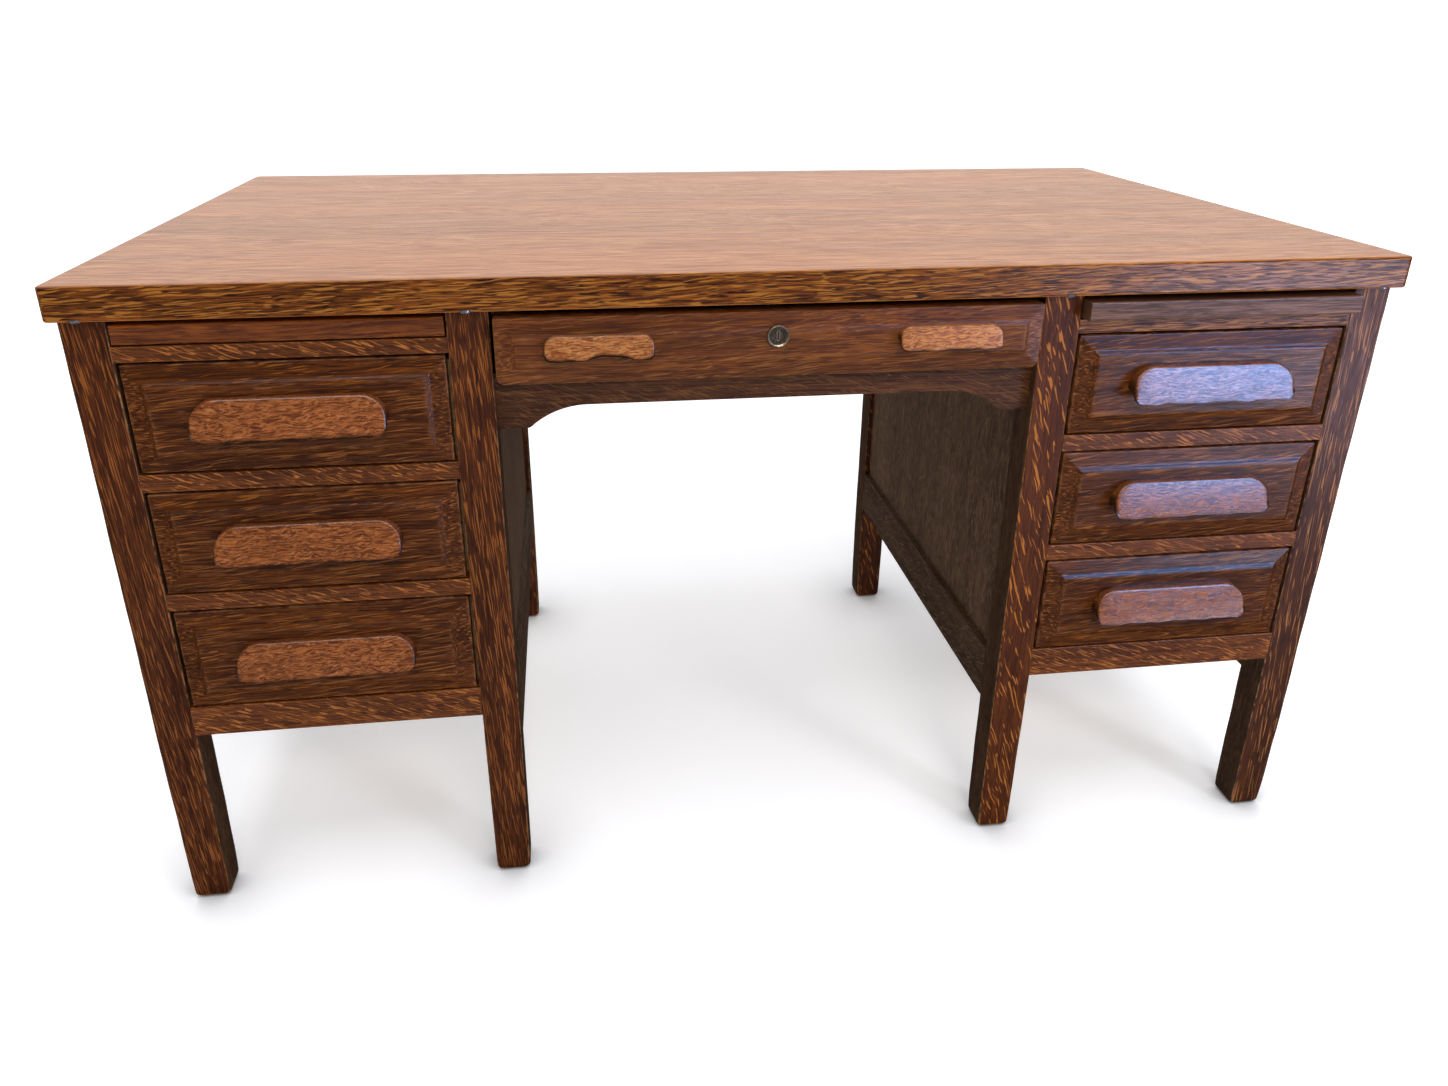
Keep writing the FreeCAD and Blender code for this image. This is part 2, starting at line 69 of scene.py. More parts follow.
# Shaped meshes: faces that meet at less than this angle are shaded as one, and the points of a curve
smooth_deg = 40.0
arc_points = 6
front_side_points = 14
leg_side_points = 6
arris_rings = 5
step_rings = 11
foot_rings = 7
bend_points = 7
turned_steps = 72
bead_steps = 48
bead_facets = 10
corner_signs = ((1, -1), (-1, -1), (-1, 1), (1, 1))

# Drawer fronts: softer steps than the solids have, and drawn in so that their shadow gaps show
shadow_gap_mm = np.array([1.8, 0.0, 1.3])
arris_mm = 1.5
sharpest_mm = 0.2
step_run_mm = 7.0
border_shares = np.array([1 / 6, 1 / 3, 2 / 3])
field_rings_mm = np.array([2.0, 5.0])
pedestal_front_mm = {"border": 15.5, "slope": 2.5, "step": 3.5, "low_corner": 0.8}
centre_front_mm = {"border": 15.0, "slope": 2.0, "step": 2.5, "low_corner": 9.0}
# The crest is rubbed paler, in part as a painted highlight; the outer arris is rubbed too
crest_rub_and_highlight_share = 0.3
crest_rub_and_highlight_mm = 1.6
arris_wear_share = 0.8
arris_wear_mm = 1.2

# Wooden pulls: wedges as the solids are, with rounder ends. worn is rubbed off their lower edge
drawer_pull_mm = {
    "top_reach": 8.0, "low_reach": 22.0, "lip": 8.0, "groove": 19.0, "groove_slope": 4.0,
    "top_corner": 26.0, "low_corner": 12.0, "edge": 3.0, "worn": 1.2, "notch": 0.6,
}
centre_left_pull_mm = {
    "top_reach": 7.0, "low_reach": 16.0, "lip": 6.0, "groove": 12.0, "groove_slope": 2.0,
    "top_corner": 13.0, "low_corner": 7.0, "edge": 2.4, "worn": 4.2, "notch": 4.5,
}
centre_right_pull_mm = centre_left_pull_mm | {"worn": 1.8, "notch": 0.5}
centre_pull_length_mm = 113.0
middle_sections = 16
end_sections = 18
bend_limit_share = 0.48
groove_roof_mm = 0.5
# The rubbing's mean share, and each wave's share, radians to the millimetre and start
rub_mean_share = 0.6
rub_waves = ((0.28, 0.11, 0.6), (0.22, 0.23, 2.0))
lip_rub_share = 0.75
notch_place_share = 0.15
notch_spread_share = 0.4
top_wear_share = 0.7

# Legs: square as the solids are, with fuller feet, ends worn round and unevenly rubbed arrises
leg_arris_mm = 1.6
foot_taper_mm = 1.0
foot_round_mm = 7.5
foot_corner_mm = 4.5
foot_wear_height_mm = 14.0
leg_ring_mm = 12.0
arris_waves_mm = (37.0, 13.0)
arris_wave_shares = (0.35, 0.25)
arris_phase_step = 1.7

# Lock: its plug's face lies behind the flange's. Profiles are pairs of radius and reach to the front
plug_recess_mm = 0.6
keyhole_half_mm = np.array([1.0, 4.5])
bead_mm = 0.5
rim_profile_mm = (
    (9.7, -0.05), (9.8, 0.1), (10.2, 0.4), (11.0, 1.8), (11.2, 1.9), (11.4, 1.7), (11.5, 1.0),
    (11.5, 0.1), (11.4, -0.05),
)
rings_profile_mm = (
    (5.3, -0.05), (5.35, 0.1), (5.6, 0.2), (5.9, 0.04), (6.2, 0.2), (6.5, 0.1), (6.6, -0.05),
)

# Oak: the noise levels between which a mask rises, and how the grain turns, shades and wears
line_levels = (0.40, 0.60)
band_levels = (0.38, 0.66)
pore_levels = (0.53, 0.65)
line_detail = 3.0
pore_detail = 1.0
fleck_detail = 0.0
drift_detail = 1.0
fleck_wave_shares = (0.6, 4.0)
fleck_swing_share = 1.1
board_shades = (0.9, 1.06)
pore_relief = -1.6
grain_bump = 0.5
grain_depth_mm = 0.05
pore_dulling = 0.06
line_polish = 0.04
facing_levels = (0.35, 0.8)
arris_levels = (0.985, 0.80)
rubbed_patch_mm = (14, 9)
rubbed_levels = (0.38, 0.66)
rubbed_share = 0.7
rubbed_detail = 3.0
grain_turns = {"x": (0, 0, 0), "y": (0, 0, -math.pi / 2), "z": (0, math.pi / 2, 0)}

# Metal: clouds of tarnish, how much rougher they are, and how metallic bare and tarnished parts look
tarnish_mm = (3.5, 3.5)
tarnish_levels = (0.38, 0.62)
tarnish_detail = 4.0
tarnish_dulling = 0.25
bare_metallic = 0.9
tarnished_metallic = 0.3

# Stage: a floor that sweeps up behind, glows more from near to far and is painted with a contact shadow
# close to the feet
floor_colour = "#F1F3F6"
floor_rough = 0.9
floor_half = 9.0
sweep_start = 3.0
sweep_radius = 2.5
sweep_rings = 24
wall_height = 7.0
floor_glow = {"From Min": 1.2, "From Max": 5.5, "To Min": 0.44, "To Max": 1.0}
contact_shadow_reach = 0.12
contact_shadow_samples = 8

# Room: its glow by how far a direction points to the back, and by how far it points up
room_colour = "#FFFFFF"
back_glow = {"From Min": -0.1, "From Max": 0.7, "To Min": 0.05, "To Max": 1.0}
upper_glow = {"From Min": -0.05, "From Max": 0.03}


# Meshes

def corners_mm(node):
    """The low and the high corner of a solid's box."""
    return [np.array(corner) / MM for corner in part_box(node)]


def ring_quads(rows, columns, looped):
    """Quads of a grid whose columns close on themselves, and whose rows do too when it is looped."""
    row = np.arange(rows if looped else rows - 1)[:, None]
    below = (row + 1) % rows * columns
    row = row * columns
    here = np.arange(columns)[None, :]
    after = (here + 1) % columns
    return np.stack([row + here, row + after, below + after, below + here], axis=-1).reshape(-1, 4)


def closed_mesh(name, rings, wear_and_painted_light=0.0, looped=False):
    """A closed skin over rings of points, an array of rows by columns by 3: its rings either run round
    a loop or have a flat cap at each end. Its third argument, from 0 to 1, says where hands have rubbed it
    and
    where light is painted: on a pull 0 is painted shade, and on a front the rubbed crest is in part a
    painted highlight."""
    rows, columns = rings.shape[:2]
    first = np.arange(columns)
    last = first + (rows - 1) * columns
    caps = [] if looped else [first[::-1].tolist(), last.tolist()]
    faces = ring_quads(rows, columns, looped).tolist() + caps
    mesh = bpy.data.meshes.new(name)
    mesh.from_pydata(rings.reshape(-1, 3).tolist(), [], faces)
    rubbed = mesh.attributes.new("wear_and_painted_light", "FLOAT", "POINT")
    rubbed.data.foreach_set("value", np.broadcast_to(wear_and_painted_light, rings.shape[:2]).astype(np.float32).ravel())
    shell = bmesh.new()
    shell.from_mesh(mesh)
    bmesh.ops.recalc_face_normals(shell, faces=shell.faces)
    shell.to_mesh(mesh)
    shell.free()
    mesh.polygons.foreach_set("use_smooth", np.ones(len(mesh.polygons), bool))
    mesh.set_sharp_from_angle(angle=math.radians(smooth_deg))
    return mesh


def fix_on(node, name, mesh, material):
    """Show a mesh on a solid: it rides on the same body and takes the finish it is given."""
    piece = bpy.data.objects.new(name, mesh)
    bpy.context.scene.collection.objects.link(piece)
    mesh.materials.append(material)
    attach(piece, node_bodies[node])
    return piece


def stand_for(node, name, mesh, material):
    """Show a mesh in place of a solid."""
    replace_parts(fix_on(node, name, mesh, material), node)


def rounded_rectangles(half_width, half_height, radii, side_points):
    """Rings of points round rectangles with rounded corners.

    The half sizes are columns with one row per ring, and radii has one column per corner, from the
    lower right round to the upper right. An arc is its centre plus radius times cosine and sine, and
    the points of a side lie closer towards its ends, along a half wave of the cosine.
    """
    share = (1 - np.cos(math.pi * np.linspace(0, 1, side_points + 2)[1:-1])) / 2
    arcs = []
    for corner, (right, upper) in enumerate(corner_signs):
        radius = radii[:, corner:corner + 1]
        start = -math.pi * corner / 2
        angle = start - np.linspace(0, math.pi / 2, arc_points)
        x = right * (half_width - radius) + radius * np.cos(angle)
        z = upper * (half_height - radius) + radius * np.sin(angle)
        arcs.append(np.stack([x, z], axis=-1))
    rows = []
    for corner, arc in enumerate(arcs):
        after = arcs[(corner + 1) % len(arcs)]
        run = arc[:, -1:] * (1 - share[:, None]) + after[:, :1] * share[:, None]
        rows += [arc, run]
    return np.concatenate(rows, axis=1)


def raised_front(node, shape_mm):
    """A drawer front: rings of its outline, drawn in by an inset and set back by a depth.

    The border slopes up from a rounded arris, and a half wave of the cosine lifts the field above it.
    Wear falls off along bell curves from the step's crest, where it is in part a painted highlight, and
    from the outer arris.
    """
    low, high = corners_mm(node)
    border, slope, step = shape_mm["border"], shape_mm["slope"], shape_mm["step"]
    turn = np.linspace(0, math.pi / 2, arris_rings)
    wave = np.linspace(0, 1, step_rings)
    crest_at = border + step_run_mm
    inset = np.concatenate([
        [0], arris_mm * (1 - np.cos(turn)), arris_mm + (border - arris_mm) * border_shares,
        border + step_run_mm * wave, crest_at + field_rings_mm,
    ])
    depth = np.concatenate([
        [high[1] - low[1]], slope + step + arris_mm * (1 - np.sin(turn)),
        step + slope * (1 - border_shares), step * (1 + np.cos(math.pi * wave)) / 2,
        np.zeros_like(field_rings_mm),
    ])
    half = (high - low) / 2 - shadow_gap_mm
    middle = (high + low) / 2
    sharp = np.maximum(arris_mm - inset, sharpest_mm)
    round_low = np.maximum(shape_mm["low_corner"] - inset, sharpest_mm)
    radii = np.stack([round_low, round_low, sharp, sharp], axis=1)
    inward = inset[:, None]
    flat = rounded_rectangles(half[0] - inward, half[2] - inward, radii, front_side_points)
    level = np.broadcast_to(low[1] + depth[:, None], flat.shape[:2])
    rings = np.stack([middle[0] + flat[..., 0], level, middle[2] + flat[..., 1]], axis=-1)
    # Paler at the crest, rubbed and in part a painted highlight, and rubbed at the outer arris
    rubbed = crest_rub_and_highlight_share * np.exp(-((inset - crest_at) / crest_rub_and_highlight_mm) ** 2)
    rubbed += arris_wear_share * np.exp(-(inset / arris_wear_mm) ** 2)
    return closed_mesh(node + "_shaped", rings * MM, rubbed[:, None])


def worn_leg(node, number):
    """A leg as rounded squares from the floor up: a straight taper draws them in towards the foot and a
    quarter circle rounds its end. The arrises' radii follow two waves, and swell at the foot."""
    low, high = corners_mm(node)
    taper_from = corners_mm("left_outer_side_rails")[0][2]
    half = (high[0] - low[0]) / 2
    middle = (high + low) / 2
    turn = np.linspace(0, math.pi / 2, foot_rings)
    ring_count = round((high[2] - foot_round_mm) / leg_ring_mm)
    upward = np.linspace(foot_round_mm, high[2], ring_count)[1:]
    z = np.concatenate([foot_round_mm * (1 - np.cos(turn)), upward])
    below = np.maximum(foot_round_mm - z, 0)
    rounding = foot_round_mm - np.sqrt(foot_round_mm ** 2 - below ** 2)
    taper = foot_taper_mm * np.clip(1 - z / taper_from, 0, 1)
    size = (half - rounding - taper)[:, None]
    height = z[:, None]
    phase = number + arris_phase_step * np.arange(len(corner_signs))
    radii = leg_arris_mm + foot_corner_mm * np.exp(-height / foot_wear_height_mm)
    for length, share in zip(arris_waves_mm, arris_wave_shares):
        radii = radii + leg_arris_mm * share * np.sin(height / length + phase)
    flat = rounded_rectangles(size, size, radii, leg_side_points)
    level = np.broadcast_to(height, flat.shape[:2])
    rings = np.stack([middle[0] + flat[..., 0], middle[1] + flat[..., 1], level], axis=-1)
    return closed_mesh(node + "_shaped", rings * MM)


def bend(start, corner, end):
    """A curved corner from start to end: the weighted mean (1-t)^2, 2t(1-t), t^2 of three points."""
    t = np.linspace(0, 1, bend_points)[None, :, None]
    return (1 - t) ** 2 * start[:, None] + 2 * t * (1 - t) * corner[:, None] + t ** 2 * end[:, None]


def toward(start, end, distance):
    """The point a distance from start on the way to end, stopping just short of half way."""
    way = end - start
    length = np.linalg.norm(way, axis=1, keepdims=True)
    return start + way * np.minimum(distance / length, bend_limit_share)


def wooden_pull(name, low, high, shape_mm):
    """A pull as sections across its length: a wedge with a leaning face, a lip and a finger groove.

    The top of a section drops along a circle towards each end, its foot rises along a smaller one,
    and its face draws back over the last few millimetres. Fingers have rubbed its lower edge away,
    more and less in two waves, and hollowed it right of the middle along a bell curve. low and high
    are its corners in millimetres.
    """
    half = (high[0] - low[0]) / 2
    middle = (high[0] + low[0]) / 2
    top, foot, edge = shape_mm["top_corner"], shape_mm["low_corner"], shape_mm["edge"]
    top_reach, low_reach = shape_mm["top_reach"], shape_mm["low_reach"]
    quarter = np.sin(np.linspace(0, math.pi / 2, end_sections))
    right = np.concatenate([np.linspace(0, half - top, middle_sections)[:-1], half - top + top * quarter])
    x = np.concatenate([-right[:0:-1], right])
    past_top = np.maximum(np.abs(x) - (half - top), 0)
    past_foot = np.maximum(np.abs(x) - (half - foot), 0)
    past_face = np.clip(np.abs(x) - (half - edge), 0, edge)
    rubbed = np.full_like(x, rub_mean_share)
    for share, turn, start in rub_waves:
        rubbed += share * np.sin(x * turn + start)
    rubbed *= shape_mm["worn"]
    hollow = np.exp(-((x - notch_place_share * half) / (notch_spread_share * half)) ** 2)
    upper = high[2] - top + np.sqrt(np.maximum(top ** 2 - past_top ** 2, 0))
    lower = low[2] + shape_mm["notch"] * hollow + foot - np.sqrt(np.maximum(foot ** 2 - past_foot ** 2, 0))
    drawn_in = edge - np.sqrt(np.maximum(edge ** 2 - past_face ** 2, 0))
    back = np.full_like(x, high[1])

    def point(reach, z):
        """Points of all sections at a reach to the front and a height."""
        return np.stack([x + middle, back - reach, z], axis=-1)

    lean = (low_reach - top_reach) / (high[2] - low[2])
    face_top = point(top_reach + lean * (high[2] - upper) - drawn_in, upper)
    face_low = point(low_reach - lean * (lower + rubbed - low[2]) - drawn_in, lower + rubbed)
    behind_lip = np.full_like(x, low_reach - shape_mm["lip"])
    lip_front = point(low_reach - drawn_in - lip_rub_share * rubbed, lower)
    lip_back = point(behind_lip, lower)
    groove_top = low[2] + shape_mm["groove"]
    roof = upper - groove_roof_mm
    groove_front = point(behind_lip, np.minimum(groove_top - shape_mm["groove_slope"], roof))
    groove_back = point(np.zeros_like(x), np.minimum(groove_top, roof))
    seat = point(np.zeros_like(x), upper)
    sections = [
        seat[:, None],
        bend(toward(face_top, seat, edge), face_top, toward(face_top, face_low, edge)),
        bend(toward(face_low, face_top, edge), face_low, toward(face_low, lip_front, edge)),
        bend(toward(lip_front, face_low, edge), lip_front, toward(lip_front, lip_back, edge / 2)),
        bend(toward(lip_back, lip_front, edge / 2), lip_back, toward(lip_back, groove_front, edge / 2)),
        groove_front[:, None],
        groove_back[:, None],
    ]
    # Clean where hands rub the face, part clean on top, and painted dark as shade under the lip, in the
    # groove, over the rubbed lower edge and at the ends
    onto_face = np.linspace(0, 1, bend_points)
    over_top = top_wear_share + (1 - top_wear_share) * onto_face
    underneath = np.zeros(2 * bend_points + 2)
    wear_and_painted_light = np.concatenate([[top_wear_share], over_top, onto_face[::-1], underneath])
    off_the_end = np.clip((half - np.abs(x)) / edge, 0, 1)
    return closed_mesh(name, np.concatenate(sections, axis=1) * MM, off_the_end[:, None] * wear_and_painted_light)


def turned_ring(name, centre, profile_mm):
    """A ring turned about an axis along Y: the profile, pairs of radius and reach to the front in
    millimetres, swung round the centre by cosine and sine."""
    radius, reach = np.array(profile_mm).T
    angle = np.linspace(0, 2 * math.pi, turned_steps, endpoint=False)[:, None]
    x = centre[0] + radius * np.cos(angle)
    y = np.broadcast_to(centre[1] - reach, x.shape)
    z = centre[2] + radius * np.sin(angle)
    return closed_mesh(name, np.stack([x, y, z], axis=-1) * MM, looped=True)


def bead_round(name, centre, half_width, half_height, thick):
    """A thin round bead along the outline of an upright slot: small circles, in the plane of the
    outline's own normal and Y, about each point of a rectangle with half-round ends."""
    turn = np.linspace(0, 2 * math.pi, bead_steps, endpoint=False)
    straight = (half_height - half_width) * np.sign(np.sin(turn))
    out = np.stack([np.cos(turn), np.sin(turn)], axis=-1)
    path = np.stack([half_width * out[:, 0], straight + half_width * out[:, 1]], axis=-1)
    around = np.linspace(0, 2 * math.pi, bead_facets, endpoint=False)
    flat = path[:, None] + thick * np.cos(around)[None, :, None] * out[:, None]
    y = np.broadcast_to(centre[1] + thick * np.sin(around), flat.shape[:2])
    rings = np.stack([centre[0] + flat[..., 0], y, centre[2] + flat[..., 1]], axis=-1)
    return closed_mesh(name, rings * MM, looped=True)


# Materials

def linear(colour):
    """Linear red, green, blue and alpha from an sRGB hex colour."""
    values = np.array([int(colour[place:place + 2], 16) for place in (1, 3, 5)]) / 255
    low = values / 12.92
    high = ((values + 0.055) / 1.055) ** 2.4
    return (*np.where(values <= 0.04045, low, high).tolist(), 1.0)


def add(tree, kind, inputs=None, **settings):
    """Add a node, set its properties, and fill or link its inputs by name or number."""
    made = tree.nodes.new(kind)
    for name, value in settings.items():
        setattr(made, name, value)
    for key, value in (inputs or {}).items():
        if isinstance(value, bpy.types.NodeSocket):
            tree.links.new(value, made.inputs[key])
        else:
            made.inputs[key].default_value = value
    return made


def new_material(name):
    """An empty node material with a shader joined to its output."""
    material = bpy.data.materials.new(name)
    material.use_nodes = True
    tree = material.node_tree
    tree.nodes.clear()
    shader = add(tree, "ShaderNodeBsdfPrincipled")
    add(tree, "ShaderNodeOutputMaterial", {"Surface": shader.outputs[0]})
    return material, tree, shader


def grain_streaks(tree, coords, cell_mm, detail):
    """Streaks of the wood: noise scaled so that its cells have a size along and across the grain."""
    long, wide = cell_mm
    cells = (1 / (long * MM), 1 / (wide * MM), 1 / (wide * MM))
    scaled = add(tree, "ShaderNodeVectorMath", {0: coords, 1: cells}, operation="MULTIPLY")
    return add(tree, "ShaderNodeTexNoise", {"Vector": scaled.outputs[0], "Scale": 1.0, "Detail": detail})


def speckle(tree, coords, cell_mm, limits, most=1.0, detail=2.0):
    """A mask, up to most, where streaks rise between two levels."""
    streaks = grain_streaks(tree, coords, cell_mm, detail)
    levels = {"Value": streaks.outputs[0], "From Min": limits[0], "From Max": limits[1], "To Max": most}
    return add(tree, "ShaderNodeMapRange", levels, interpolation_type="SMOOTHSTEP").outputs[0]


def wander(tree, coords, cell_mm, reach_mm):
    """Coordinates pushed from side to side, across the grain, by slow streaks."""
    streaks = grain_streaks(tree, coords, cell_mm, drift_detail)
    reach = reach_mm * MM
    push = {0: streaks.outputs["Color"], 1: (0, 2 * reach, 2 * reach), 2: (0, -reach, -reach)}
    shift = add(tree, "ShaderNodeVectorMath", push, operation="MULTIPLY_ADD")
    return add(tree, "ShaderNodeVectorMath", {0: coords, 1: shift.outputs[0]}, operation="ADD").outputs[0]


def oak_figure(tree, place, look):
    """Colour and relief of stained oak: fine lines, broad bands, bright ray flecks and dark open pores.

    Each is noise stretched along the grain and cut to a mask. Slow noise makes the grain drift, and the
    flecks wave and lie a little askew to it. A glued-up surface has a shade of its own for each board.
    """
    deep, dark, light, fleck = (linear(tone) for tone in look["tones"])
    along = add(tree, "ShaderNodeMapping", {"Vector": place, "Rotation": grain_turns[look["along"]]})
    grain = wander(tree, along.outputs[0], *look["drift_mm"])
    lines = speckle(tree, grain, look["line_mm"], line_levels, detail=line_detail)
    bands = speckle(tree, grain, look["band_mm"], band_levels, look["band_depth"])
    pores = speckle(tree, grain, look["pore_mm"], pore_levels, look["pore_depth"], pore_detail)
    askew = (0, math.radians(look["askew_deg"]), 0)
    turned = add(tree, "ShaderNodeMapping", {"Vector": grain, "Rotation": askew})
    wave_mm = [share * size for share, size in zip(fleck_wave_shares, look["fleck_mm"])]
    curled = wander(tree, turned.outputs[0], wave_mm, fleck_swing_share * look["fleck_mm"][1])
    flecks = speckle(
        tree, curled, look["fleck_mm"], look["fleck_levels"], look["fleck_depth"], fleck_detail
    )
    colour = dark
    for share, tone in ((lines, light), (bands, deep), (pores, deep), (flecks, fleck)):
        colour = add(tree, "ShaderNodeMix", {0: share, 6: colour, 7: tone}, data_type="RGBA").outputs[2]
    if "board_mm" in look:
        across = add(tree, "ShaderNodeSeparateXYZ", {0: along.outputs[0]})
        widths = {0: across.outputs[1], 1: look["board_mm"] * MM}
        count = add(tree, "ShaderNodeMath", widths, operation="DIVIDE")
        board = add(tree, "ShaderNodeMath", {0: count.outputs[0]}, operation="FLOOR")
        chance = add(tree, "ShaderNodeTexWhiteNoise", {"W": board.outputs[0]}, noise_dimensions="1D")
        levels = {"Value": chance.outputs["Value"], "To Min": board_shades[0], "To Max": board_shades[1]}
        shade = add(tree, "ShaderNodeMapRange", levels)
        tint = add(tree, "ShaderNodeVectorMath", {0: colour, "Scale": shade.outputs[0]}, operation="SCALE")
        colour = tint.outputs[0]
    sunk = {0: pores, 1: pore_relief, 2: lines}
    relief = add(tree, "ShaderNodeMath", sunk, operation="MULTIPLY_ADD").outputs[0]
    return colour, relief


def arris_masks(tree, normal, facing):
    """Masks of the faces that look along an axis, and of the arrises, whose normal leans off all three."""
    square = add(tree, "ShaderNodeVectorMath", {0: normal}, operation="ABSOLUTE")
    parts = add(tree, "ShaderNodeSeparateXYZ", {0: square.outputs[0]}).outputs
    turned_to = parts["xyz".index(facing)]
    levels = {"Value": turned_to, "From Min": facing_levels[0], "From Max": facing_levels[1]}
    faces = add(tree, "ShaderNodeMapRange", levels).outputs[0]
    most = add(tree, "ShaderNodeMath", {0: parts[0], 1: parts[1]}, operation="MAXIMUM")
    most = add(tree, "ShaderNodeMath", {0: most.outputs[0], 1: parts[2]}, operation="MAXIMUM")
    levels = {"Value": most.outputs[0], "From Min": arris_levels[0], "From Max": arris_levels[1]}
    arrises = add(tree, "ShaderNodeMapRange", levels, interpolation_type="SMOOTHSTEP").outputs[0]
    return faces, arrises


def oak(name, look, worn, rough, gloss, wear_from="arrises", other_look=None, facing="z"):
    """Varnished oak, rubbed in patches along its edges to a worn tone, if it has one.

    Wear follows rounded arrises or, from the piece, its own attribute of wear and painted light. With
    another look, the first shows only on the faces that look along the facing axis, or only where that
    attribute is high; on a pull the other look is painted shade.
    """
    material, tree, shader = new_material(name)
    place = add(tree, "ShaderNodeTexCoord")
    colour, relief = oak_figure(tree, place.outputs["Object"], look)
    if wear_from == "arrises":
        first_share, edge = arris_masks(tree, place.outputs["Normal"], facing)
    else:
        edge = add(tree, "ShaderNodeAttribute", attribute_name="wear_and_painted_light").outputs["Fac"]
        first_share = edge
    if other_look:
        other_colour, other_relief = oak_figure(tree, place.outputs["Object"], other_look)
        tones = {0: first_share, 6: other_colour, 7: colour}
        colour = add(tree, "ShaderNodeMix", tones, data_type="RGBA").outputs[2]
        heights = {0: first_share, 2: other_relief, 3: relief}
        relief = add(tree, "ShaderNodeMix", heights, data_type="FLOAT").outputs[0]
    if worn:
        coords = place.outputs["Object"]
        patches = speckle(tree, coords, rubbed_patch_mm, rubbed_levels, rubbed_share, rubbed_detail)
        rubbed = add(tree, "ShaderNodeMath", {0: edge, 1: patches}, operation="MULTIPLY").outputs[0]
        tones = {0: rubbed, 6: colour, 7: linear(worn)}
        colour = add(tree, "ShaderNodeMix", tones, data_type="RGBA").outputs[2]
    tree.links.new(colour, shader.inputs["Base Color"])
    levels = {"Value": relief, "To Min": rough + pore_dulling, "To Max": rough - line_polish}
    dull = add(tree, "ShaderNodeMapRange", levels)
    tree.links.new(dull.outputs[0], shader.inputs["Roughness"])
    shader.inputs["Specular IOR Level"].default_value = gloss
    waves = {"Strength": grain_bump, "Distance": grain_depth_mm * MM, "Height": relief}
    bump = add(tree, "ShaderNodeBump", waves)
    tree.links.new(bump.outputs[0], shader.inputs["Normal"])
    return material


def metal(name, clean, tarnish, rough):
    """Old metal: bare where it is rubbed, with cloudy dark tarnish that is also rougher."""
    material, tree, shader = new_material(name)
    place = add(tree, "ShaderNodeTexCoord")
    clouds = speckle(tree, place.outputs["Object"], tarnish_mm, tarnish_levels, detail=tarnish_detail)
    tones = {0: clouds, 6: linear(clean), 7: linear(tarnish)}
    colour = add(tree, "ShaderNodeMix", tones, data_type="RGBA")
    tree.links.new(colour.outputs[2], shader.inputs["Base Color"])
    levels = {"Value": clouds, "To Min": rough, "To Max": rough + tarnish_dulling}
    dull = add(tree, "ShaderNodeMapRange", levels)
    tree.links.new(dull.outputs[0], shader.inputs["Roughness"])
    levels = {"Value": clouds, "To Min": bare_metallic, "To Max": tarnished_metallic}
    bare = add(tree, "ShaderNodeMapRange", levels)
    tree.links.new(bare.outputs[0], shader.inputs["Metallic"])
    return material


# Quarter-sawn oak: tones are deep, dark, light and fleck, and each pair is along and across the grain.
# Lines and pores are drawn coarser than real oak's, which would be too fine to show
fine_rays = {
    "along": "z", "tones": ("#200B02", "#3B1804", "#562908", "#A65F1D"), "drift_mm": ((220, 40), 6),
    "line_mm": (60, 1.2), "band_mm": (380, 26), "band_depth": 0.4, "pore_mm": (20, 1.3), "pore_depth": 0.45,
    "askew_deg": 4, "fleck_mm": (46, 1.2), "fleck_levels": (0.58, 0.68), "fleck_depth": 0.5,
}
bold_rays = fine_rays | {
    "tones": ("#260D02", "#451D04", "#5F2E09", "#B66E1D"),
    "askew_deg": 19, "fleck_mm": (46, 2.1), "fleck_levels": (0.63, 0.70), "fleck_depth": 0.72,
}
pale_rays = fine_rays | {
    "tones": ("#271004", "#411E08", "#5B3011", "#AA6C31"),
    "askew_deg": 3, "fleck_mm": (60, 1.5), "fleck_levels": (0.62, 0.70), "fleck_depth": 0.7,
}
level_rays = fine_rays | {
    "along": "x", "tones": ("#2D1204", "#542707", "#763E11", "#B96F27"),
    "askew_deg": -22, "fleck_mm": (24, 1.3), "fleck_levels": (0.61, 0.70), "fleck_depth": 0.65,
}
apron_rays = level_rays | {"tones": ("#221007", "#42230F", "#613A1D", "#80532C"), "fleck_depth": 0.4}
# Grey tones, in part painted haze of reflected light and shade: the kneehole's side rails take these, and
# its panels the like tones of panel_rays
deep_rays = level_rays | {"along": "y", "tones": ("#221710", "#3E2B1D", "#5A4330", "#7C6044")}
panel_rays = fine_rays | {
    "tones": ("#2A1D13", "#4C3727", "#6A503A", "#8A6C4E"), "drift_mm": ((90, 40), 9),
    "askew_deg": 7, "fleck_mm": (24, 1.6), "fleck_levels": (0.56, 0.68), "fleck_depth": 0.5,
}
brown_panel_rays = panel_rays | {"tones": ("#2A1508", "#4C2A11", "#6A401D", "#88592C")}
brown_side_rays = deep_rays | {"tones": ("#261207", "#482710", "#68401C", "#8C5C2B")}
front_grain = level_rays | {
    "tones": ("#1F0A02", "#3C1904", "#63330C", "#9E5E1E"), "line_mm": (70, 1.2),
    "askew_deg": 7, "fleck_mm": (46, 1.2), "fleck_levels": (0.62, 0.72), "fleck_depth": 0.5,
}
centre_front_grain = front_grain | {"tones": ("#2B1105", "#512609", "#784115", "#946025")}
slide_grain = level_rays | {
    "tones": ("#351303", "#5B2806", "#86460F", "#945312"), "line_mm": (60, 1.5),
    "askew_deg": 4, "fleck_mm": (40, 1.2), "fleck_depth": 0.3,
}
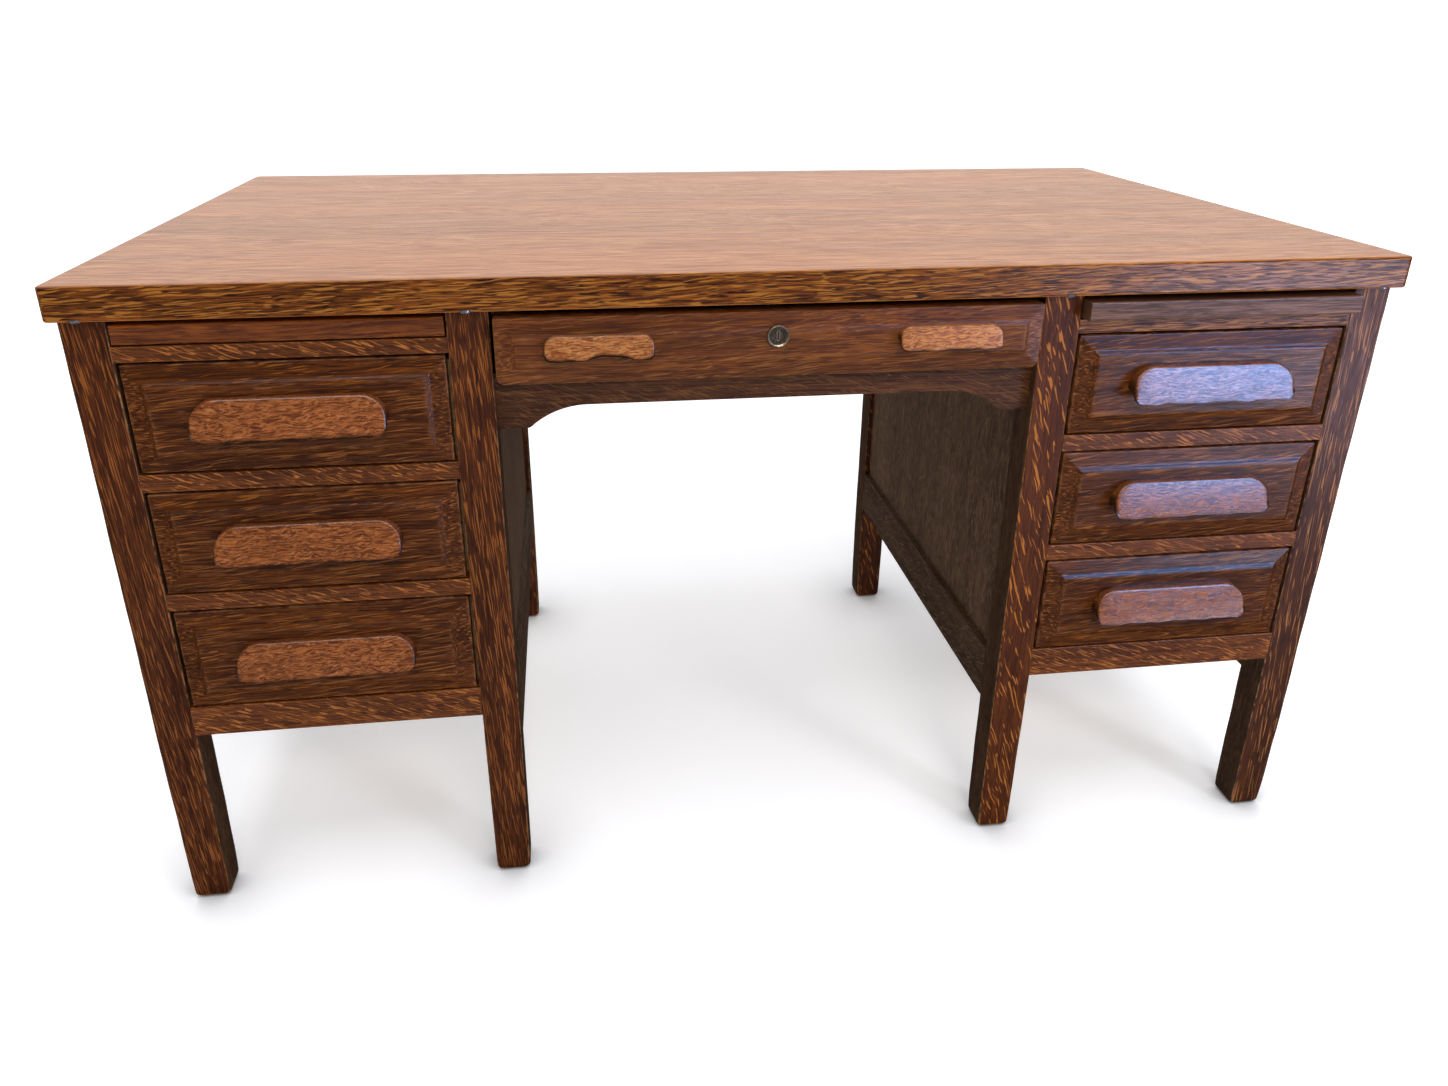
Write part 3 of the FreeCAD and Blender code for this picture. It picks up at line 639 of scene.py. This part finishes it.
pull_grain = level_rays | {
    "tones": ("#3A1A0A", "#5E2E13", "#98592F", "#B27448"), "drift_mm": ((30, 14), 6),
    "line_mm": (30, 1.3), "band_mm": (60, 30), "band_depth": 0.2, "pore_mm": (7, 1.3), "pore_depth": 0.5,
    "askew_deg": 14, "fleck_mm": (10, 1.4), "fleck_levels": (0.58, 0.70), "fleck_depth": 0.45,
}
pale_pull_grain = pull_grain | {"tones": ("#46220D", "#763D1C", "#AA7040", "#B88554")}
palest_pull_grain = pull_grain | {"tones": ("#52290F", "#884A1F", "#BA7B43", "#C89159")}
# Near black: painted shade for the pulls' undersides, grooves and ends
painted_shade_grain = pull_grain | {"tones": ("#0E0603", "#1C0D05", "#2E180B", "#3A2112")}
plain_sides = panel_rays | {"tones": ("#20130B", "#3A2718", "#543B27", "#664A32")}
# Grey tones that stand for a painted sheen of cool window light
window_sheen_slide_grain = slide_grain | {"tones": ("#2C190F", "#523425", "#75513F", "#88644F")}
top_grain = level_rays | {
    "tones": ("#66320F", "#90501C", "#B4712D", "#C68A45"), "drift_mm": ((420, 150), 26), "board_mm": 116,
    "line_mm": (150, 2.2), "band_mm": (900, 50), "band_depth": 0.32,
    "pore_mm": (30, 1.5), "pore_depth": 0.45,
    "askew_deg": 2, "fleck_mm": (90, 2.6), "fleck_levels": (0.57, 0.70), "fleck_depth": 0.4,
}
top_edge_grain = level_rays | {
    "tones": ("#200B02", "#4E2406", "#7E4411", "#A36821"), "line_mm": (40, 1.5), "band_mm": (130, 18),
    "pore_mm": (22, 1.6), "pore_depth": 0.85,
    "askew_deg": 3, "fleck_mm": (36, 1.4), "fleck_levels": (0.55, 0.66), "fleck_depth": 0.7,
}
bare_grain = deep_rays | {"tones": ("#76573A", "#93714E", "#AD8A64", "#BD9F78"), "fleck_depth": 0.4}

# A leg's front and back show rays, and its sides plain grain
leg_finish = {"rough": 0.40, "gloss": 0.25, "other_look": plain_sides, "facing": "y"}
glossy_leg_finish = leg_finish | {"rough": 0.38, "gloss": 0.4}
# Brown varnish on close upright grain with thin golden rays: most legs
fine_leg_oak = oak("fine_rayed_leg_oak", fine_rays, "#A07044", **leg_finish)
# The same varnish over broad golden flecks: the legs right of the kneehole
bold_leg_oak = oak("bold_rayed_leg_oak", bold_rays, "#A07044", **leg_finish)
# Redder and glossier, with pale dashes: the right outer legs
pale_leg_oak = oak("pale_rayed_leg_oak", pale_rays, "#A87A5C", **glossy_leg_finish)
# Level grain with rubbed arrises: the rails
rail_oak = oak("rail_oak", level_rays, "#A07044", rough=0.36, gloss=0.4)
# Coarser, with dark open pores: the rail under the right slide
coarse_rail_oak = oak("coarse_rail_oak", top_edge_grain, "#A07044", rough=0.36, gloss=0.4)
# Darker and duller in the drawer's shade: the apron and its brackets
apron_oak = oak("dark_apron_oak", apron_rays, "#7E5636", rough=0.42, gloss=0.25)
# Greyer and duller: the kneehole's side rails, with grain running to the back. Their grey is in part
# painted haze of reflected light and shade
side_oak = oak("side_rail_oak", deep_rays, "#75563B", rough=0.5, gloss=0.2)
# Dull and greyed, with faint upright flecks: the kneehole's thin panels. Their grey is in part painted haze
# of reflected light and shade
panel_oak = oak("dull_panel_oak", panel_rays, "#5C4836", rough=0.5, gloss=0.2)
# Browner, away from the kneehole: the outer and back panels, and the outer side rails
brown_panel_oak = oak("brown_panel_oak", brown_panel_rays, "#6E4A2A", rough=0.45, gloss=0.25)
brown_side_oak = oak("brown_side_rail_oak", brown_side_rays, "#8C6238", rough=0.45, gloss=0.25)
# Dark, with fine level streaks and a rubbed crest, paler in part as a painted highlight: the pedestals'
# drawer fronts
front_oak = oak("dark_front_oak", front_grain, "#946442", rough=0.30, gloss=0.4, wear_from="piece")
# A redder, lighter board of the same kind: the centre drawer's front
centre_front_oak = oak(
    "red_front_oak", centre_front_grain, "#8A5A38", rough=0.36, gloss=0.35, wear_from="piece"
)
# Plainer and more orange: the left writing slide
slide_oak = oak("plain_slide_oak", slide_grain, "#84532C", rough=0.38, gloss=0.4)
# Greyer and closer: the right slide, its grey a painted sheen of cool window light
window_sheen_slide_oak = oak("window_sheen_slide_oak", window_sheen_slide_grain, "#84604C", rough=0.38, gloss=0.4)
# Hands keep a pull clean where they rub it; under its lip, in its groove, over its rubbed lower edge and at
# its ends it is painted dark as shade
pull_finish = {"worn": None, "wear_from": "piece", "other_look": painted_shade_grain}
# Reddish and glossy, with dense short pores: the pedestals' pulls
pull_oak = oak("hand_worn_pull_oak", pull_grain, rough=0.22, gloss=0.8, **pull_finish)
# Worn paler: the centre drawer's left pull
pale_pull_oak = oak("pale_worn_pull_oak", pale_pull_grain, rough=0.25, gloss=0.4, **pull_finish)
# Worn palest of all: its right pull
palest_pull_oak = oak("palest_worn_pull_oak", palest_pull_grain, rough=0.30, gloss=0.3, **pull_finish)
# Golden tan satin on top, with coarse dark open grain along the edges
top_oak = oak("satin_top_oak", top_grain, "#84532C", rough=0.28, gloss=0.4, other_look=top_edge_grain)
# Unvarnished and pale: the drawer boxes and the bars they run on
inner_oak = oak("bare_inner_oak", bare_grain, "#B99A74", rough=0.62, gloss=0.3)
# Grey-brown with age: the lock
lock_brass = metal("tarnished_brass", "#75614B", "#382B20", rough=0.42)
# Rubbed bright: the lock's rim and the bead round its keyhole
rim_brass = metal("rubbed_brass", "#C2B298", "#6E5E4A", rough=0.32)
# Dark domed heads with a bright glint: the studs
stud_steel = metal("darkened_steel", "#AEB4BE", "#4A4A4C", rough=0.26)

# A solid takes the finish of the first ending that its name has, or else that of its slot
ending_materials = {
    "right_inner_front_leg": bold_leg_oak, "right_inner_back_leg": bold_leg_oak,
    "right_outer_front_leg": pale_leg_oak, "right_outer_back_leg": pale_leg_oak, "_leg": fine_leg_oak,
    "outer_side_rails": brown_side_oak, "_side_rails": side_oak,
    "outer_side_panel": brown_panel_oak, "_back_panel": brown_panel_oak,
    "right_writing_slide": window_sheen_slide_oak, "_writing_slide": slide_oak,
    "right_slide_rail": coarse_rail_oak, "kneehole_apron": apron_oak, "apron_brackets": apron_oak,
}
slot_materials = {
    "top_oak": top_oak, "panel_oak": panel_oak, "front_oak": front_oak, "pull_oak": pull_oak,
    "inner_oak": inner_oak, "lock_brass": lock_brass, "stud_steel": stud_steel, "frame_oak": rail_oak,
}
for node, solid in nodes.items():
    named = [material for ending, material in ending_materials.items() if node.endswith(ending)]
    solid.data.materials.clear()
    solid.data.materials.append((named + [slot_materials[node_slots[node]]])[0])

# Shaped legs
for number, node in enumerate(sorted(node for node in nodes if node.endswith("_leg"))):
    stand_for(node, node + "_shaped", worn_leg(node, number), nodes[node].data.materials[0])

# Shaped drawer fronts and pulls
for node in nodes:
    shaped = node + "_shaped"
    if node == "centre_drawer_front":
        stand_for(node, shaped, raised_front(node, centre_front_mm), centre_front_oak)
    elif node.endswith("_drawer_front"):
        stand_for(node, shaped, raised_front(node, pedestal_front_mm), front_oak)
    elif node.endswith("_drawer_pull"):
        stand_for(node, shaped, wooden_pull(shaped, *corners_mm(node), drawer_pull_mm), pull_oak)

# The centre drawer's pulls, of which the left one has been rubbed most
low, high = corners_mm("centre_drawer_pulls")
left_end = np.array([low[0] + centre_pull_length_mm, high[1], high[2]])
right_start = np.array([high[0] - centre_pull_length_mm, low[1], low[2]])
for shaped, corners, shape_mm, finish in (
    ("centre_drawer_left_pull_shaped", (low, left_end), centre_left_pull_mm, pale_pull_oak),
    ("centre_drawer_right_pull_shaped", (right_start, high), centre_right_pull_mm, palest_pull_oak),
):
    stand_for("centre_drawer_pulls", shaped, wooden_pull(shaped, *corners, shape_mm), finish)

# The lock's face: a moulded rim on the drawer, fine rings and a bead round the keyhole on the plug
plug_joint = next(joint for joint in behaviour["joints"] if joint["name"] == "lock_plug_turn")
plug_face_mm = np.array(plug_joint["pos_m"]) / MM
lock_face_mm = plug_face_mm - np.array([0, plug_recess_mm, 0])
rim = turned_ring("lock_rim", lock_face_mm, rim_profile_mm)
fix_on("lock_case", "lock_rim", rim, rim_brass)
plug_rings = turned_ring("plug_rings", plug_face_mm, rings_profile_mm)
fix_on("lock_plug", "plug_rings", plug_rings, lock_brass)
bead = bead_round("keyhole_bead", plug_face_mm, *(keyhole_half_mm + bead_mm), bead_mm)
fix_on("lock_plug", "keyhole_bead", bead, rim_brass)


# Stage

def sweep():
    """A floor that bends up into a wall: a level run, a quarter circle and an upright run, along X."""
    turn = np.linspace(0, math.pi / 2, sweep_rings)
    wall_at = sweep_start + sweep_radius
    y = np.concatenate([[-floor_half], sweep_start + sweep_radius * np.sin(turn), [wall_at]])
    z = np.concatenate([[0], sweep_radius * (1 - np.cos(turn)), [wall_height]])
    x = np.array([-floor_half, floor_half])
    points = np.stack(np.broadcast_arrays(x[None, :], y[:, None], z[:, None]), axis=-1)
    row = np.arange(len(y) - 1) * 2
    faces = np.stack([row, row + 1, row + 3, row + 2], axis=-1)
    mesh = bpy.data.meshes.new("studio_sweep")
    mesh.from_pydata(points.reshape(-1, 3).tolist(), [], faces.tolist())
    mesh.polygons.foreach_set("use_smooth", np.ones(len(mesh.polygons), bool))
    return mesh


def studio_paper():
    """Matt pale paper that glows by its distance from the desk, with a painted contact shadow that darkens
    it close to the feet.
    """
    material, tree, shader = new_material("matt_studio_paper")
    shader.inputs["Roughness"].default_value = floor_rough
    # Painted contact shadow: occlusion darkens the paper's colour and glow near the desk's feet
    near = {"Color": linear(floor_colour), "Distance": contact_shadow_reach}
    contact_shadow = add(tree, "ShaderNodeAmbientOcclusion", near, samples=contact_shadow_samples)
    tree.links.new(contact_shadow.outputs["Color"], shader.inputs["Base Color"])
    tree.links.new(contact_shadow.outputs["Color"], shader.inputs["Emission Color"])
    place = add(tree, "ShaderNodeTexCoord").outputs["Object"]
    away = add(tree, "ShaderNodeVectorMath", {0: place}, operation="LENGTH")
    glow = add(tree, "ShaderNodeMapRange", {"Value": away.outputs["Value"]} | floor_glow)
    tree.links.new(glow.outputs[0], shader.inputs["Emission Strength"])
    return material


floor = bpy.data.objects.new("studio_sweep", sweep())
bpy.context.scene.collection.objects.link(floor)
floor.data.materials.append(studio_paper())
floor.visible_glossy = False


def soft_light(name, place, target, size, power, colour, lights=True, mirrored=True):
    """A soft light at a place, facing a target. It can light surfaces, be mirrored in them, or both."""
    lamp = bpy.data.lights.new(name, "AREA")
    lamp.shape = "RECTANGLE"
    lamp.size, lamp.size_y = size
    lamp.energy = power
    lamp.color = linear(colour)[:3]
    holder = bpy.data.objects.new(name, lamp)
    holder.location = place
    holder.rotation_euler = (Vector(target) - Vector(place)).to_track_quat("-Z", "Y").to_euler()
    holder.visible_camera = False
    holder.visible_diffuse = lights
    holder.visible_glossy = mirrored
    bpy.context.scene.collection.objects.link(holder)
    return holder


def link_light(light, solid, state):
    """Keep a light off one solid, with the state EXCLUDE, or off everything else, with INCLUDE."""
    linked = bpy.data.collections.new(light.name + "_linked")
    linked.objects.link(solid)
    light.light_linking.receiver_collection = linked
    linked.collection_objects[0].light_linking.link_state = state


# Broad soft light from above and in front
soft_light(
    "overhead_softbox", place=(0.1, -0.5, 3.4), target=(0.1, 0, 0.4), size=(3.6, 3.0), power=110,
    colour="#FDFCFF",
)
soft_light(
    "front_softbox", place=(0.3, -3.5, 2.7), target=(0, -0.3, 0.5), size=(1.2, 0.8), power=44,
    colour="#FFF3E8", mirrored=False,
)
soft_light(
    "right_daylight", place=(2.3, -2.9, 1.7), target=(0.5, -0.4, 0.55), size=(0.7, 0.8), power=28,
    colour="#FFFFFF", mirrored=False,
)
# Cool windows to the right that are only mirrored: by all but the top, by the top alone, and a low one
high_window = soft_light(
    "right_window", place=(2.45, -2.85, 2.25), target=(0.5, -0.4, 2.25), size=(1.3, 2.0), power=120,
    colour="#66B0FF", lights=False,
)
edge_window = soft_light(
    "edge_window", place=(2.25, -2.85, 0.3), target=(0.6, -0.4, 0.6), size=(1.3, 0.5), power=14,
    colour="#C4D2F4", lights=False,
)
soft_light(
    "low_window", place=(1.75, -1.85, 0.19), target=(0.65, -0.4, 0.19), size=(0.85, 0.32), power=8.5,
    colour="#C8D6FF", lights=False,
)
link_light(high_window, nodes["desk_top"], "EXCLUDE")
link_light(edge_window, nodes["desk_top"], "INCLUDE")

# The room: mirrored, it is bright behind the desk, dim in front and dark below; the camera sees white
world = bpy.data.worlds.new("pale_room")
world.use_nodes = True
room = world.node_tree
room.nodes.clear()
heading = add(room, "ShaderNodeSeparateXYZ", {0: add(room, "ShaderNodeTexCoord").outputs["Generated"]})
behind = add(room, "ShaderNodeMapRange", {"Value": heading.outputs[1]} | back_glow)
above = add(room, "ShaderNodeMapRange", {"Value": heading.outputs[2]} | upper_glow)
shares = {0: behind.outputs[0], 1: above.outputs[0]}
mirrored_glow = add(room, "ShaderNodeMath", shares, operation="MULTIPLY")
seen = add(room, "ShaderNodeLightPath").outputs["Is Camera Ray"]
glow = add(room, "ShaderNodeMath", {0: mirrored_glow.outputs[0], 1: seen}, operation="MAXIMUM")
sky = add(room, "ShaderNodeBackground", {"Color": linear(room_colour), "Strength": glow.outputs[0]})
add(room, "ShaderNodeOutputWorld", {"Surface": sky.outputs[0]})
bpy.context.scene.world = world
bpy.context.scene.view_settings.view_transform = "Standard"

# Camera
lens = bpy.data.cameras.new("photograph_view")
lens.sensor_fit = "HORIZONTAL"
lens.sensor_width = sensor_mm
lens.lens = lens_px / image_px[0] * sensor_mm
lens.shift_x = (image_px[0] / 2 - lens_axis_px[0]) / image_px[0]
lens.shift_y = (lens_axis_px[1] - image_px[1] / 2) / image_px[0]
lens.clip_end = sight_limit
camera = bpy.data.objects.new("photograph_view", lens)
camera.location = camera_place
camera.rotation_euler = Euler([math.radians(angle) for angle in camera_turn_deg], "XYZ")
bpy.context.scene.collection.objects.link(camera)
bpy.context.scene.camera = camera
